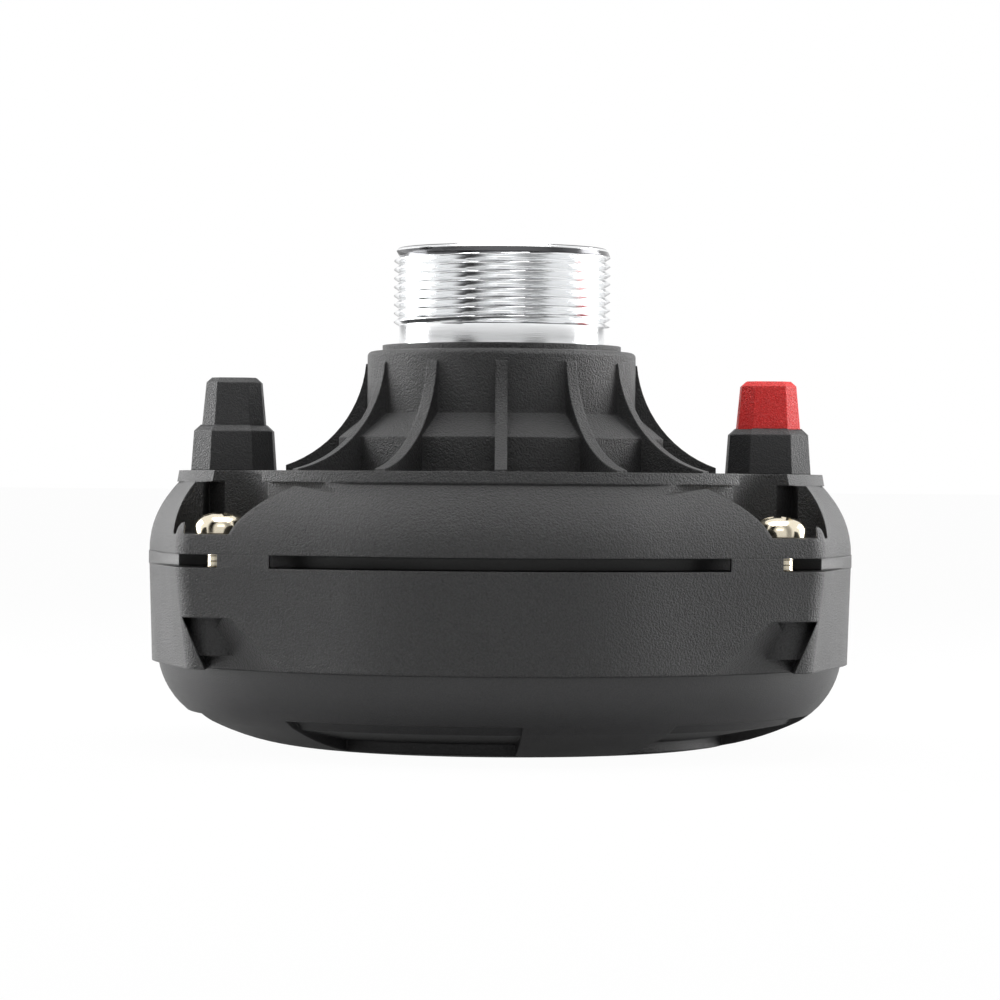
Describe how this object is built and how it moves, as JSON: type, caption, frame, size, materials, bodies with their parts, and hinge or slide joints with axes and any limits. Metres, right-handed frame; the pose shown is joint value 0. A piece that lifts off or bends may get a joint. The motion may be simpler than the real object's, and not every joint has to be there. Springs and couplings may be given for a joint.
{
  "type": "compression driver",
  "caption": "Screw-on horn compression driver with ribbed moulded housing, threaded throat, sprung push terminals and a domed diaphragm over a ring-magnet motor.",
  "frame": {"origin": "centre of the flat underside of the rear cap, on the throat axis", "axes": "+Z along the throat axis towards the horn, +X towards the red terminal, -Y the side seen in the picture"},
  "size_m": [0.113, 0.1128, 0.08],
  "materials": {
    "housing_plastic": "moulded grain",
    "cap_plastic": "fine moulded grain",
    "screw_steel": "bright warm plating",
    "brass": "plain",
    "throat_aluminium": "turned bright",
    "plug_plastic": "smooth",
    "gasket_rubber": "matt",
    "surround_plastic": "thin film",
    "dome_titanium": "pressed foil",
    "copper_winding": "enamelled wire",
    "motor_steel": "black plated",
    "ferrite": "ground",
    "felt": "felt",
    "terminal_black": "fine grain",
    "terminal_red": "fine grain",
    "spring_steel": "bright"
  },
  "bodies": {
    "driver": {"front_housing": "housing_plastic", "rear_shell": "housing_plastic", "rear_cap": "cap_plastic", "housing_screws": "screw_steel", "threaded_inserts": "brass", "throat_tube": "throat_aluminium", "phase_plug": "plug_plastic", "throat_gasket": "gasket_rubber", "diaphragm_ring": "plug_plastic", "surround": "surround_plastic", "top_plate": "motor_steel", "ring_magnet": "ferrite", "pole_yoke": "motor_steel", "pole_felt": "felt", "damping_pad": "gasket_rubber", "positive_terminal_base": "terminal_black", "positive_return_spring": "spring_steel", "positive_contact_blade": "brass", "positive_coil_lead": "brass", "negative_terminal_base": "terminal_black", "negative_return_spring": "spring_steel", "negative_contact_blade": "brass", "negative_coil_lead": "brass"},
    "moving_diaphragm": {"diaphragm_dome": "dome_titanium", "coil_former": "plug_plastic", "coil_winding": "copper_winding"},
    "positive_button": {"positive_push_cap": "terminal_red"},
    "negative_button": {"negative_push_cap": "terminal_black"}
  },
  "joints": [
    {"name": "positive_push", "type": "slide", "parent": "driver", "child": "positive_button", "axis": [0, 0, -1], "range_m": [0, 0.003], "stiffness_N_per_m": 400, "springref_m": -0.002, "deforming": ["positive_return_spring"]},
    {"name": "negative_push", "type": "slide", "parent": "driver", "child": "negative_button", "axis": [0, 0, -1], "range_m": [0, 0.003], "stiffness_N_per_m": 400, "springref_m": -0.002, "deforming": ["negative_return_spring"]},
    {"name": "diaphragm_stroke", "type": "slide", "parent": "driver", "child": "moving_diaphragm", "axis": [0, 0, 1], "range_m": [-0.0004, 0.0004], "stiffness_N_per_m": 3000, "deforming": ["surround"]}
  ]
}
